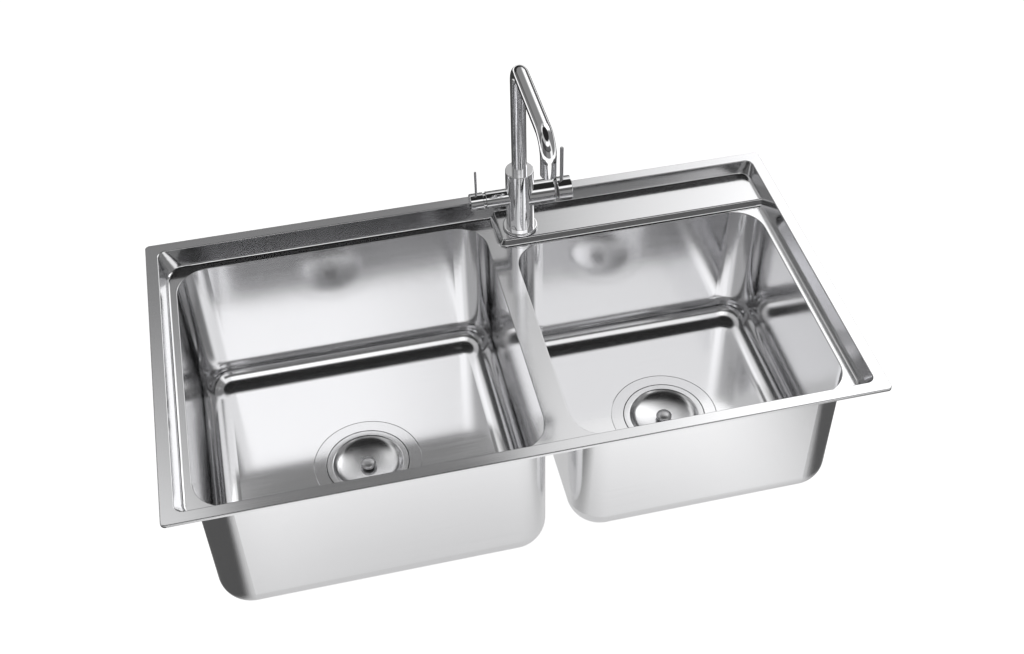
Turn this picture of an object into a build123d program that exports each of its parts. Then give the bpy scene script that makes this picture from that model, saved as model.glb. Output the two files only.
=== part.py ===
from build123d import *
import os
from math import cos, hypot, radians, sin, sqrt

os.makedirs("parts", exist_ok=True)

# Double bowl kitchen sink with a swivel tap, in millimetres.
# The origin is the middle of the front rim's underside, in the plane of the worktop that the
# rim rests on. +X points to the right, +Y to the back (the tap's side) and +Z up.

# ---------------------------------------------------------------- driving dimensions
# pressed steel
sheet = 1.0                     # steel thickness of the deck and the bowls
bowl_margin = 32.0              # outer edge of the rim to the edge of a bowl
left_bowl_width = 395.5
left_bowl_depth = 386.0         # front to back
right_bowl_width = 330.0
right_bowl_depth = 332.5        # front to back
divider = 30.5                  # ledge between the two bowls
platform_space = 53.5           # depth kept behind the right bowl for the tap platform
left_bowl_drop = 229.0          # rim top to bowl floor
right_bowl_drop = 212.0
bowl_corner = 40.0              # upright corners, inside
floor_fillet = 33.0             # floor to wall, inside
weld_flange = 6.0               # flange of a bowl under the ledge

rim_width = 15.3                # flat rim, outer edge to the start of the recess
rim_corner = 6.0
edge_turn = 3.5                 # height of the turned-down edge
ledge_drop = 24.8               # rim top to the sunken ledge
wall_run = 6.2                  # how far the recess wall leans in on its way down
recess_corner_top = 10.0
recess_corner_foot = 22.0
foot_fillet = 4.0               # hollow corner at the foot of the recess wall

platform_drop = 17.0            # rim top to the tap platform
platform_gap = 2.3              # right bowl's back edge to the foot of the platform's step
platform_run = 5.4              # how far the step leans back
platform_overlap = 10.5         # how far the platform reaches over the divider, to the left
platform_corner = 5.0
platform_fillet = 2.5           # step's top edge, and the foot of the wall behind the platform
rim_edge = 1.2                  # rounding of the rim's edges
opening_edge = 0.9              # rounding of the bowl openings

seal_width = 10.5               # foam seal under the rim
seal_inset = 2.0
seal_corner = 4.0
pad_thickness = 2.5             # sound-deadening pads
pad_margin = 10.0
pad_corner = 25.0

# drains
drain_flange_radius = 70.0
flange_seal_thickness = 1.0
flange_edge = 0.5               # rounding of the flange's top edges
cup_fillet = 4.0
seat_radius = 30.0              # where the cup's floor turns down to the outlet
outlet_drop = 4.0
neck_wall = 2.0
flange_sheet = 1.2
flange_play = 0.4               # flange to the edge of its dimple in the floor
cup_radius = 54.0               # inside of the strainer body
cup_depth = 48.0
cup_hole_play = 0.8             # strainer body in the bowl's floor hole
outlet_radius = 21.0            # inside of the outlet neck
outlet_length = 26.0
ring_gap = 1.0                  # water gap around the tray's rim
tray_radius = 44.5
tray_depth = 17.5
tray_curve = 14.0
tray_lip = 1.0                  # rounding of the tray's upper edge
tray_sheet = 1.0
cage_radius = 48.5
cage_slots = 16
cage_slot_width = 4.0
cage_foot_width = 5.0
slot_margin = 7.0               # slots' distance from the cage's top and foot
knob_radius = 10.3
knob_rise = 2.2                 # knob's crown above the bowl floor
knob_thickness = 6.5
knob_rounding = 1.6
knob_socket = 3.5               # depth of the stem in the knob
stem_radius = 3.4
stopper_radius = 27.0
stopper_thickness = 6.0
stopper_lip = 1.0
gasket_width = 12.0
gasket_thickness = 3.0
friction_ring_thickness = 1.5
locknut_width = 10.0
locknut_height = 11.0
locknut_lugs = 8
lug_depth = 4.0
lug_width = 12.0
tail_radius = 20.0              # outside of the 40 mm waste pipe
tail_sheet = 1.2
tail_length = 90.0
tail_flange = 3.0
tail_washer_thickness = 2.5
coupling_nut_height = 20.0
coupling_nut_wall = 4.5
tail_waist = 0.3                # the pipe is drawn in this much under its nut
tail_waist_end = 0.5            # and keeps that to just below the nut
grip_count = 12                 # grip flutes around a coupling nut
grip_radius = 2.0

# tap
tap_from_end = 27.5             # tap axis to the platform's left top edge
tap_from_step = 22.8            # tap axis to the platform's front top edge
body_radius = 18.0
body_height = 93.0
arm_height = 52.0               # platform to the axis of the two arms
base_ring_radius = 22.6
base_ring_height = 3.4
base_ring_rounding = 1.6
base_seal_thickness = 0.8
base_seal_inset = 0.8
body_rounding = 0.8
shank_radius = 13.0
shank_bore = 11.0
shank_length = 52.0
shank_grip = 8.0                # thread length inside the body
tap_hole_radius = 14.5
washer_radius = 20.3
rubber_washer_thickness = 3.0
steel_washer_thickness = 2.0
shank_nut_flats = 36.0
shank_nut_height = 8.0
inlet_radius = 3.5
inlet_depth = 12.0
inlet_circle = 6.0
waterway_radius = 1.5
riser_radius = 1.9
waterway_drop = 5.5             # low waterways, below the arms' axis

spout_radius = 9.5
spout_wall = 1.2
spout_rise = 247.0              # platform to the axis of the level arm
spout_reach = 152.0
spout_drop = 44.0               # axis of the level arm to the nozzle's end
spout_bend = 21.0               # bend radius above the body
nozzle_bend = 24.0              # bend radius above the nozzle
socket_radius = 13.5
socket_depth = 34.0
spigot_depth = 30.0
spigot_foot_radius = 11.8
spigot_foot_height = 3.0
swivel_play = 0.3               # spigot's foot to the gland above it
oring_section = 1.1
oring_margin = 8.0              # spacing of the two O-rings
oring_sides = 8                 # the pressed rings are drawn with flats
aerator_height = 7.0
aerator_hole = 0.55
aerator_ring_radii = (2.4, 4.6, 6.8)
aerator_ring_count = 6          # holes in the innermost ring, twice as many in the next, and so on

filter_arm_radius = 11.0
filter_arm_end = 44.8           # tap axis to the end of the fixed arm
filter_gap = 3.2                # groove between the arm and its cap
filter_cap_length = 17.0
filter_bore = 8.5
filter_bore_depth = 26.0
filter_spindle_radius = 3.2
filter_pin_radius = 1.5
filter_pin_top = 47.3           # arm axis to the top of the pin
filter_pin_grip = 5.0
valve_inset = 1.5               # end of the arm to the end of the valve
spindle_grip = 8.0              # spindle inside the cap
groove_depth = 1.4              # depth of the groove beside the cap
cap_rounding = 1.0
pin_rounding = 0.4

mixer_arm_radius = 16.0
mixer_arm_end = 43.5
mixer_gap = 4.5
mixer_cap_length = 18.8
mixer_bore = 13.0
mixer_bore_depth = 26.0
mixer_pivot_depth = 7.5         # end of the arm to the lever's pivot
mixer_stem_radius = 3.0
mixer_pin_radius = 2.3
mixer_pin_top = 65.6
mixer_pin_inset = 6.9           # cap's inner face to the pin's axis
mixer_pin_grip = 4.0
carrier_radius = 9.0
carrier_half = 4.5
slot_half_height = 5.2
pivot_pin_half = 7.5
stem_tail = 3.0
stem_grip = 7.0                 # stem inside the cap
dome_radius = 15.4
dome_mouth = 7.0                # radius of the dome's opening for the stem
dome_hollow_angle = 31.0
pivot_pin_radius = 1.25
dome_play = 1.1                 # dome to the inside of the mixer cap

clearance = 0.2                 # fixed pieces that are slipped together
running = 0.05                  # radial clearance of turning fits
lift_play = 0.3                 # strainer to its seat
cap_wall = 1.5                  # wall of the mixer's dome
edge_break = 0.6                # small chamfers on turned pieces

# ---------------------------------------------------------------- worked-out places
sink_width = 2 * bowl_margin + left_bowl_width + divider + right_bowl_width
sink_depth = 2 * bowl_margin + max(left_bowl_depth, right_bowl_depth + platform_space)
front_y = -(seal_inset + seal_width / 2)
mid_y = front_y + sink_depth / 2
rim_z = edge_turn
ledge_z = rim_z - ledge_drop
platform_z = rim_z - platform_drop
step_height = platform_z - ledge_z

left_x = -sink_width / 2 + bowl_margin + left_bowl_width / 2
right_x = sink_width / 2 - bowl_margin - right_bowl_width / 2
left_y = front_y + bowl_margin + left_bowl_depth / 2
right_y = front_y + bowl_margin + right_bowl_depth / 2
bowls_back = max(left_y + left_bowl_depth / 2, right_y + right_bowl_depth / 2)
left_floor = rim_z - left_bowl_drop
right_floor = rim_z - right_bowl_drop

platform_foot_x = right_x - right_bowl_width / 2 - platform_overlap - platform_run
platform_foot_y = right_y + right_bowl_depth / 2 + platform_gap
tap_x = platform_foot_x + platform_run + tap_from_end
tap_y = platform_foot_y + platform_run + tap_from_step
arm_z = platform_z + arm_height
body_foot = platform_z + base_seal_thickness + base_ring_height
body_top = platform_z + body_height

tap_axis = Axis((tap_x, tap_y, 0), (0, 0, 1))
arm_axis = Axis((tap_x, tap_y, arm_z), (1, 0, 0))
tap_section = Plane(origin=(tap_x, tap_y, 0), x_dir=(1, 0, 0), z_dir=(0, -1, 0))
arm_section = Plane(origin=(tap_x, tap_y, arm_z), x_dir=(1, 0, 0), z_dir=(0, -1, 0))


def turned(section, axis, *points):
    """Turned shape about an axis: the closed half profile is given corner by corner."""
    with BuildSketch(section) as half_profile:
        with BuildLine():
            Polyline(*points, close=True)
        make_face()
    return revolve(half_profile.sketch.faces()[0], axis=axis, mode=Mode.PRIVATE)


def finish(piece, label):
    """Name a finished piece and write it."""
    piece.part.label = label
    export_step(piece.part, f"parts/{label}.step")


def level_edges(part, height):
    """The edges that lie in one level plane."""
    flat = []
    for edge in part.edges():
        box = edge.bounding_box()
        if abs(box.min.Z - height) < 0.001 and abs(box.max.Z - height) < 0.001:
            flat.append(edge)
    return flat


# ================================================================ pressed deck
def recess_outline(inset, height, corner):
    """Outline of the recess at one height, set in from the edge of the rim."""
    with BuildSketch(Plane((0, mid_y, height))) as outline:
        RectangleRounded(sink_width - 2 * inset, sink_depth - 2 * inset, corner)
    return outline.sketch.faces()[0]


def platform_outline(inset, height, corner):
    """Outline of the tap platform at one height; it runs on under the walls behind it."""
    start_x = platform_foot_x + inset
    start_y = platform_foot_y + inset
    end_x = sink_width / 2
    end_y = mid_y + sink_depth / 2
    with BuildSketch(Plane.XY.offset(height)) as outline:
        with BuildLine():
            FilletPolyline((end_x, start_y), (start_x, start_y), (start_x, end_y), radius=corner)
            Polyline((start_x, end_y), (end_x, end_y), (end_x, start_y))
        make_face()
    return outline.sketch.faces()[0]


def pressing(grow):
    """Space above the ledge and the platform; grow moves all its walls out into the steel."""
    wall_shift = grow * hypot(wall_run, ledge_drop) / ledge_drop
    wall_foot = rim_width + wall_run * (1 + grow / ledge_drop) - wall_shift
    lean = platform_run / step_height
    step_shift = grow * (hypot(platform_run, step_height) / step_height - lean)
    low = ledge_z - grow
    high = platform_z - grow
    with BuildPart() as space:
        loft(
            [
                recess_outline(rim_width - wall_shift, rim_z, recess_corner_top + wall_shift),
                recess_outline(wall_foot, low, recess_corner_foot + wall_shift),
            ],
            ruled=True,
        )
        loft(
            [
                platform_outline(step_shift, low, platform_corner + platform_run - step_shift),
                platform_outline(platform_run + step_shift, high, platform_corner - step_shift),
            ],
            ruled=True,
            mode=Mode.SUBTRACT,
        )
        fillet(level_edges(space.part, low), foot_fillet + grow)
        fillet(level_edges(space.part, high), platform_fillet)
    return space.part


recess_space = pressing(0.0)
recess_backing = pressing(sheet)

# One pressed sheet: raised rim with a turned-down edge, recess wall, ledge and tap platform.
with BuildPart() as deck_frame:
    with BuildSketch(Plane((0, mid_y, 0))) as rim_outline:
        RectangleRounded(sink_width, sink_depth, rim_corner)
    extrude(amount=rim_z)
    fillet(level_edges(deck_frame.part, rim_z), rim_edge)
    with BuildSketch(Plane((0, mid_y, 0))) as rim_inside:
        RectangleRounded(sink_width - 2 * sheet, sink_depth - 2 * sheet, rim_corner - sheet)
    extrude(amount=rim_z - sheet, mode=Mode.SUBTRACT)
    add(recess_backing)
    add(recess_space, mode=Mode.SUBTRACT)
    inner_rim = [edge for edge in level_edges(deck_frame.part, rim_z)
                 if edge.bounding_box().max.X < sink_width / 2 - rim_width + sheet]
    fillet(inner_rim, rim_edge)
    with BuildSketch(Plane((0, 0, ledge_z))) as bowl_openings:
        with Locations((left_x, left_y)):
            RectangleRounded(left_bowl_width, left_bowl_depth, bowl_corner)
        with Locations((right_x, right_y)):
            RectangleRounded(right_bowl_width, right_bowl_depth, bowl_corner)
    extrude(amount=-2 * sheet, mode=Mode.SUBTRACT)
    openings_edges = [edge for edge in level_edges(deck_frame.part, ledge_z)
                      if edge.bounding_box().min.X > -sink_width / 2 + bowl_margin - sheet / 2
                      and edge.bounding_box().max.X < sink_width / 2 - bowl_margin + sheet / 2
                      and edge.bounding_box().min.Y > front_y + bowl_margin - sheet / 2
                      and edge.bounding_box().max.Y < bowls_back + sheet / 2]
    opening_edges = [edge for edge in openings_edges
                     if edge.bounding_box().max.Y < platform_foot_y
                     or edge.bounding_box().max.X < left_x + left_bowl_width / 2 + sheet / 2]
    fillet(opening_edges, opening_edge)
    with BuildSketch(Plane((tap_x, tap_y, platform_z))) as tap_hole:
        Circle(tap_hole_radius)
    extrude(amount=-2 * sheet, mode=Mode.SUBTRACT)
finish(deck_frame, "deck_frame")
print("deck", deck_frame.part.volume, len(deck_frame.part.solids()))

# Foam seal stuck under the rim, all the way round.
with BuildPart() as rim_seal:
    with BuildSketch(Plane((0, mid_y, 0))) as seal_outline:
        RectangleRounded(
            sink_width - 2 * seal_inset, sink_depth - 2 * seal_inset, rim_corner - seal_inset
        )
        RectangleRounded(
            sink_width - 2 * (seal_inset + seal_width),
            sink_depth - 2 * (seal_inset + seal_width),
            seal_corner,
            mode=Mode.SUBTRACT,
        )
    extrude(amount=rim_z - sheet)
finish(rim_seal, "rim_seal")


# ================================================================ bowls
dimple_radius = drain_flange_radius + flange_play
dimple_depth = flange_sheet + flange_seal_thickness
cup_outside = cup_radius + flange_sheet
cup_hole_radius = cup_outside + cup_hole_play


def bowl(x, y, width, depth, floor):
    """Pressed bowl with a narrow flange that is welded under the ledge."""
    rim_under = ledge_z - sheet
    with BuildPart() as inside:
        with BuildSketch(Plane((x, y, floor))) as inner_plan:
            RectangleRounded(width, depth, bowl_corner)
        extrude(amount=rim_under - floor)
        fillet(inside.faces().sort_by(Axis.Z)[0].edges(), floor_fillet)
    with BuildPart() as shell:
        with BuildSketch(Plane((x, y, floor - sheet))) as outer_plan:
            RectangleRounded(width + 2 * sheet, depth + 2 * sheet, bowl_corner + sheet)
        extrude(amount=rim_under - floor + sheet)
        fillet(shell.faces().sort_by(Axis.Z)[0].edges(), floor_fillet + sheet)
        with BuildSketch(Plane((x, y, rim_under - sheet))) as flange_plan:
            RectangleRounded(
                width + 2 * weld_flange, depth + 2 * weld_flange, bowl_corner + weld_flange
            )
        extrude(amount=sheet)
        with BuildSketch(Plane((x, y, floor))) as dimple_plan:
            Circle(dimple_radius + sheet)
        extrude(amount=-dimple_depth - sheet)
        add(inside.part, mode=Mode.SUBTRACT)
        with BuildSketch(Plane((x, y, floor))) as dimple_space:
            Circle(dimple_radius)
        extrude(amount=-dimple_depth, mode=Mode.SUBTRACT)
        with BuildSketch(Plane((x, y, floor))) as drain_hole:
            Circle(cup_hole_radius)
        extrude(amount=-dimple_depth - 2 * sheet, mode=Mode.SUBTRACT)
    return shell


left_bowl = bowl(left_x, left_y, left_bowl_width, left_bowl_depth, left_floor)
right_bowl = bowl(right_x, right_y, right_bowl_width, right_bowl_depth, right_floor)
finish(left_bowl, "left_bowl")
finish(right_bowl, "right_bowl")
print("bowls", left_bowl.part.volume, right_bowl.part.volume)


def deadening_pad(x, y, width, depth, floor):
    """Rubber pad stuck to the underside of a bowl, around the drain."""
    with BuildPart() as pad:
        with BuildSketch(Plane((x, y, floor - sheet))) as pad_plan:
            RectangleRounded(
                width - 2 * (floor_fillet + pad_margin),
                depth - 2 * (floor_fillet + pad_margin),
                pad_corner,
            )
            Circle(dimple_radius + sheet + pad_margin, mode=Mode.SUBTRACT)
        extrude(amount=-pad_thickness)
    return pad


left_pad = deadening_pad(left_x, left_y, left_bowl_width, left_bowl_depth, left_floor)
right_pad = deadening_pad(right_x, right_y, right_bowl_width, right_bowl_depth, right_floor)
finish(left_pad, "left_deadening_pad")
finish(right_pad, "right_deadening_pad")


# ================================================================ drains
def drain(side, x, y, floor):
    """Strainer waste of one bowl, from the flush flange down to the waste pipe."""
    section = Plane(origin=(x, y, floor), x_dir=(1, 0, 0), z_dir=(0, -1, 0))
    axis = Axis((x, y, 0), (0, 0, 1))
    cup_floor = -cup_depth
    seat_top = cup_floor - flange_sheet
    neck_foot = cup_floor - outlet_drop - outlet_length
    neck_radius = outlet_radius + neck_wall
    dimple_floor = -dimple_depth
    steel_under = dimple_floor - sheet

    # The cup: flush flange, side wall, sloped floor and threaded outlet neck.
    with BuildPart() as drain_body:
        add(turned(
            section, axis,
            (cup_radius, 0),
            (cup_radius, cup_floor),
            (seat_radius, cup_floor),
            (outlet_radius, cup_floor - outlet_drop),
            (outlet_radius, neck_foot),
            (neck_radius, neck_foot),
            (neck_radius, cup_floor - outlet_drop - flange_sheet),
            (seat_radius, seat_top),
            (cup_outside, seat_top),
            (cup_outside, -flange_sheet),
            (drain_flange_radius, -flange_sheet),
            (drain_flange_radius, 0),
        ))
        rims = drain_body.edges().filter_by(GeomType.CIRCLE)
        corner = [edge for edge in rims if abs(edge.radius - cup_radius) < 0.001
                  and abs(edge.center().Z - floor - cup_floor) < 0.001]
        fillet(corner, cup_fillet)
        corner = [edge for edge in drain_body.edges().filter_by(GeomType.CIRCLE)
                  if abs(edge.center().Z - floor) < 0.001]
        fillet(corner, flange_edge)
    finish(drain_body, f"{side}_drain_body")

    with BuildPart() as flange_seal:
        add(turned(
            section, axis,
            (cup_hole_radius, dimple_floor),
            (cup_hole_radius, -flange_sheet),
            (drain_flange_radius - flange_play, -flange_sheet),
            (drain_flange_radius - flange_play, dimple_floor),
        ))
    finish(flange_seal, f"{side}_flange_seal")

    # Under the bowl: gasket, slip ring and lugged locknut around the cup.
    ring_inside = cup_outside + clearance
    ring_outside = cup_outside + gasket_width
    gasket_foot = steel_under - gasket_thickness
    with BuildPart() as under_gasket:
        add(turned(
            section, axis,
            (ring_inside, steel_under),
            (ring_outside, steel_under),
            (ring_outside, gasket_foot),
            (ring_inside, gasket_foot),
        ))
    finish(under_gasket, f"{side}_under_gasket")

    slip_foot = gasket_foot - friction_ring_thickness
    with BuildPart() as slip_ring:
        add(turned(
            section, axis,
            (ring_inside, gasket_foot),
            (ring_outside, gasket_foot),
            (ring_outside, slip_foot),
            (ring_inside, slip_foot),
        ))
    finish(slip_ring, f"{side}_slip_ring")

    nut_outside = cup_outside + locknut_width
    with BuildPart() as locknut:
        add(turned(
            section, axis,
            (cup_outside, slip_foot),
            (nut_outside, slip_foot),
            (nut_outside, slip_foot - locknut_height),
            (cup_outside, slip_foot - locknut_height),
        ))
        with BuildSketch(Plane((x, y, floor + slip_foot))) as lug_plan:
            with PolarLocations(nut_outside + lug_depth / 2 - edge_break, locknut_lugs):
                Rectangle(lug_depth + 2 * edge_break, lug_width)
        extrude(amount=-locknut_height)
    finish(locknut, f"{side}_locknut")

    # Waste pipe with its flared top, held to the neck by a coupling nut.
    washer_foot = neck_foot - tail_washer_thickness
    flare_foot = washer_foot - tail_flange
    with BuildPart() as tail_washer:
        add(turned(
            section, axis,
            (outlet_radius, neck_foot),
            (neck_radius, neck_foot),
            (neck_radius, washer_foot),
            (outlet_radius, washer_foot),
        ))
    finish(tail_washer, f"{side}_tail_washer")

    nut_lip = flare_foot - coupling_nut_wall
    pipe_top = nut_lip - tail_waist_end
    tail_inside = tail_radius - tail_sheet
    tail_foot = washer_foot - tail_length
    with BuildPart() as tailpiece:
        add(turned(
            section, axis,
            (tail_inside, washer_foot),
            (neck_radius, washer_foot),
            (neck_radius, flare_foot),
            (tail_radius - tail_waist, flare_foot),
            (tail_radius - tail_waist, pipe_top),
            (tail_radius, pipe_top),
            (tail_radius, tail_foot),
            (tail_inside, tail_foot),
        ))
    finish(tailpiece, f"{side}_tailpiece")

    nut_top = nut_lip + coupling_nut_height
    nut_radius = neck_radius + coupling_nut_wall
    with BuildPart() as coupling_nut:
        add(turned(
            section, axis,
            (neck_radius + clearance, flare_foot),
            (tail_radius + clearance, flare_foot),
            (tail_radius + clearance, nut_lip),
            (nut_radius, nut_lip),
            (nut_radius, nut_top),
            (neck_radius + clearance, nut_top),
        ))
        with BuildSketch(Plane((x, y, floor + nut_lip))) as grip_plan:
            with PolarLocations(nut_radius, grip_count):
                Circle(grip_radius)
        extrude(amount=coupling_nut_height, mode=Mode.SUBTRACT)
    finish(coupling_nut, f"{side}_coupling_nut")

    # Lift-out strainer: polished tray, slotted cage, knob, stem and rubber stopper.
    rim_radius = cup_radius - ring_gap
    tray_floor = -tray_depth
    with BuildPart() as tray:
        with BuildSketch(section) as tray_profile:
            with BuildLine() as tray_line:
                upper = Line((rim_radius, 0), (tray_radius + tray_lip, 0))
                lip = TangentArc(
                    upper @ 1, (tray_radius, -tray_lip), tangent=(-1, 0)
                )
                wall = Line(lip @ 1, (tray_radius, tray_curve + tray_floor))
                curve = TangentArc(
                    wall @ 1, (tray_radius - tray_curve, tray_floor), tangent=(0, -1)
                )
                base = Line(curve @ 1, (stem_radius, tray_floor))
                Line(base @ 1, (stem_radius, tray_floor - tray_sheet))
                under = Line(
                    (stem_radius, tray_floor - tray_sheet),
                    (tray_radius - tray_curve, tray_floor - tray_sheet),
                )
                outer_curve = TangentArc(
                    under @ 1, (tray_radius + tray_sheet, tray_curve + tray_floor), tangent=(1, 0)
                )
                outer_wall = Line(outer_curve @ 1, (tray_radius + tray_sheet, -tray_sheet))
                rim_under_line = Line(outer_wall @ 1, (rim_radius, -tray_sheet))
                Line(rim_under_line @ 1, (rim_radius, 0))
            make_face()
        revolve(axis=axis)
    finish(tray, f"{side}_strainer_tray")

    cage_foot = cup_floor + lift_play
    with BuildPart() as cage:
        add(turned(
            section, axis,
            (cage_radius - tray_sheet, -tray_sheet),
            (cage_radius, -tray_sheet),
            (cage_radius, cage_foot),
            (cage_radius - cage_foot_width, cage_foot),
            (cage_radius - cage_foot_width, cage_foot + tray_sheet),
            (cage_radius - tray_sheet, cage_foot + tray_sheet),
        ))
        slot_height = cup_depth - 2 * slot_margin
        slot_base = Plane((x, y, floor - slot_margin - slot_height))
        with BuildSketch(slot_base) as slot_plan:
            with PolarLocations(cage_radius, cage_slots):
                Rectangle(4 * tray_sheet, cage_slot_width)
        extrude(amount=slot_height, mode=Mode.SUBTRACT)
    finish(cage, f"{side}_strainer_cage")

    # The seat's slope gives the height where the stopper's edge would touch it.
    seat_slope = outlet_drop / (seat_radius - outlet_radius)
    stopper_foot = cup_floor - (seat_radius - stopper_radius) * seat_slope + lift_play
    stopper_top = stopper_foot + stopper_thickness
    stem_foot = stopper_foot
    knob_top = knob_rise
    knob_foot = knob_top - knob_thickness
    with BuildPart() as stem:
        add(turned(
            section, axis,
            (0, stem_foot),
            (stem_radius, stem_foot),
            (stem_radius, knob_foot + knob_socket),
            (0, knob_foot + knob_socket),
        ))
    finish(stem, f"{side}_strainer_stem")

    with BuildPart() as stopper:
        add(turned(
            section, axis,
            (stem_radius, stopper_foot),
            (stopper_radius, stopper_foot),
            (stopper_radius + stopper_lip, stopper_foot + stopper_lip),
            (stopper_radius + stopper_lip, stopper_top),
            (stem_radius, stopper_top),
        ))
    finish(stopper, f"{side}_strainer_stopper")

    with BuildPart() as knob:
        add(turned(
            section, axis,
            (0, knob_foot + knob_socket),
            (stem_radius, knob_foot + knob_socket),
            (stem_radius, knob_foot),
            (knob_radius, knob_foot),
            (knob_radius, knob_top),
            (0, knob_top),
        ))
        outer = [edge for edge in knob.edges().filter_by(GeomType.CIRCLE)
                 if abs(edge.radius - knob_radius) < 0.001]
        fillet(outer, knob_rounding)
    finish(knob, f"{side}_strainer_knob")


drain("left", left_x, left_y, left_floor)
drain("right", right_x, right_y, right_floor)


# ================================================================ tap on its platform
ring_foot = platform_z + base_seal_thickness
shank_top = body_foot + shank_grip
shank_foot = shank_top - shank_length

with BuildPart() as base_seal:
    add(turned(
        tap_section, tap_axis,
        (tap_hole_radius, platform_z),
        (base_ring_radius - base_seal_inset, platform_z),
        (base_ring_radius - base_seal_inset, ring_foot),
        (tap_hole_radius, ring_foot),
    ))
finish(base_seal, "tap_base_seal")

with BuildPart() as base_ring:
    add(turned(
        tap_section, tap_axis,
        (shank_radius + clearance, ring_foot),
        (base_ring_radius, ring_foot),
        (base_ring_radius, body_foot),
        (shank_radius + clearance, body_foot),
    ))
    crown = [edge for edge in base_ring.edges().filter_by(GeomType.CIRCLE)
             if abs(edge.radius - base_ring_radius) < 0.001 and edge.center().Z > ring_foot + 0.1]
    fillet(crown, base_ring_rounding)
finish(base_ring, "tap_base_ring")

# Turned body with two level arms, the spout socket on top and bores for both valves.
filter_bore_end = -(filter_arm_end - filter_bore_depth)
mixer_bore_end = mixer_arm_end - mixer_bore_depth
socket_floor = body_top - socket_depth
inlet_top = shank_top + inlet_depth
inlet_places = [(inlet_circle * cos(radians(a)), inlet_circle * sin(radians(a)))
                for a in (180, 60, -60)]
with BuildPart() as tap_body:
    add(turned(
        tap_section, tap_axis,
        (0, body_foot),
        (body_radius, body_foot),
        (body_radius, body_top),
        (0, body_top),
    ))
    crown = [edge for edge in tap_body.edges().filter_by(GeomType.CIRCLE)
             if abs(edge.center().Z - body_top) < 0.001]
    fillet(crown, body_rounding)
    add(turned(
        arm_section, arm_axis,
        (0, 0),
        (-filter_arm_end, 0),
        (-filter_arm_end, filter_arm_radius - edge_break),
        (-filter_arm_end + edge_break, filter_arm_radius),
        (0, filter_arm_radius),
    ))
    add(turned(
        arm_section, arm_axis,
        (0, 0),
        (mixer_arm_end, 0),
        (mixer_arm_end, mixer_arm_radius - edge_break),
        (mixer_arm_end - edge_break, mixer_arm_radius),
        (0, mixer_arm_radius),
    ))
    add(turned(
        tap_section, tap_axis,
        (0, socket_floor),
        (socket_radius, socket_floor),
        (socket_radius, body_top),
        (0, body_top),
    ), mode=Mode.SUBTRACT)
    add(turned(
        tap_section, tap_axis,
        (0, body_foot),
        (shank_radius, body_foot),
        (shank_radius, shank_top),
        (0, shank_top),
    ), mode=Mode.SUBTRACT)
    add(turned(
        arm_section, arm_axis,
        (-filter_arm_end, 0),
        (filter_bore_end, 0),
        (filter_bore_end, filter_bore),
        (-filter_arm_end, filter_bore),
    ), mode=Mode.SUBTRACT)
    add(turned(
        arm_section, arm_axis,
        (mixer_arm_end, 0),
        (mixer_bore_end, 0),
        (mixer_bore_end, mixer_bore),
        (mixer_arm_end, mixer_bore),
    ), mode=Mode.SUBTRACT)
    # Three threaded inlets in the body's foot, and the waterways above them.
    with BuildSketch(Plane((tap_x, tap_y, shank_top))) as inlets:
        with Locations(*inlet_places):
            Circle(inlet_radius)
    extrude(amount=inlet_depth, mode=Mode.SUBTRACT)
    with BuildSketch(Plane((tap_x, tap_y, inlet_top))) as risers:
        with Locations(*inlet_places):
            Circle(riser_radius)
    extrude(amount=arm_z - waterway_drop + waterway_radius / 2 - inlet_top, mode=Mode.SUBTRACT)
    filter_inlet = inlet_places[0]
    hot_inlet = inlet_places[1]
    cold_inlet = inlet_places[2]
    low_plane = arm_z - waterway_drop
    with BuildSketch(Plane(
        origin=(tap_x + filter_inlet[0], tap_y, low_plane), x_dir=(0, 1, 0), z_dir=(-1, 0, 0)
    )) as filter_way:
        Circle(waterway_radius)
    extrude(amount=-filter_bore_end + filter_inlet[0], mode=Mode.SUBTRACT)
    for inlet in (hot_inlet, cold_inlet):
        with BuildSketch(Plane(
            origin=(tap_x + inlet[0], tap_y + inlet[1], low_plane), x_dir=(0, 1, 0), z_dir=(1, 0, 0)
        )) as mixer_way:
            Circle(waterway_radius)
        extrude(amount=mixer_bore_end - inlet[0], mode=Mode.SUBTRACT)
    # The outlet ways, from each bore up into the spout socket.
    with BuildSketch(Plane(
        origin=(tap_x, tap_y, socket_floor + 2 * waterway_radius), x_dir=(0, 1, 0), z_dir=(1, 0, 0)
    )) as mixer_outlet:
        Circle(waterway_radius)
    extrude(amount=mixer_bore_end, mode=Mode.SUBTRACT)
    with BuildSketch(Plane(
        origin=(tap_x, tap_y, socket_floor - waterway_radius / 2), x_dir=(0, 1, 0), z_dir=(-1, 0, 0)
    )) as filter_outlet:
        Circle(waterway_radius)
    extrude(amount=-filter_bore_end, mode=Mode.SUBTRACT)
finish(tap_body, "tap_body")
print("tap body", tap_body.part.volume, len(tap_body.part.solids()))

with BuildPart() as shank:
    add(turned(
        tap_section, tap_axis,
        (shank_bore, shank_foot),
        (shank_radius, shank_foot),
        (shank_radius, shank_top),
        (shank_bore, shank_top),
    ))
finish(shank, "tap_shank")

steel_foot = platform_z - sheet
rubber_foot = steel_foot - rubber_washer_thickness
washer_foot_z = rubber_foot - steel_washer_thickness
with BuildPart() as rubber_washer:
    add(turned(
        tap_section, tap_axis,
        (shank_radius + clearance, rubber_foot),
        (washer_radius, rubber_foot),
        (washer_radius, steel_foot),
        (shank_radius + clearance, steel_foot),
    ))
finish(rubber_washer, "tap_rubber_washer")

with BuildPart() as steel_washer:
    add(turned(
        tap_section, tap_axis,
        (shank_radius + clearance, washer_foot_z),
        (washer_radius, washer_foot_z),
        (washer_radius, rubber_foot),
        (shank_radius + clearance, rubber_foot),
    ))
finish(steel_washer, "tap_steel_washer")

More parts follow.
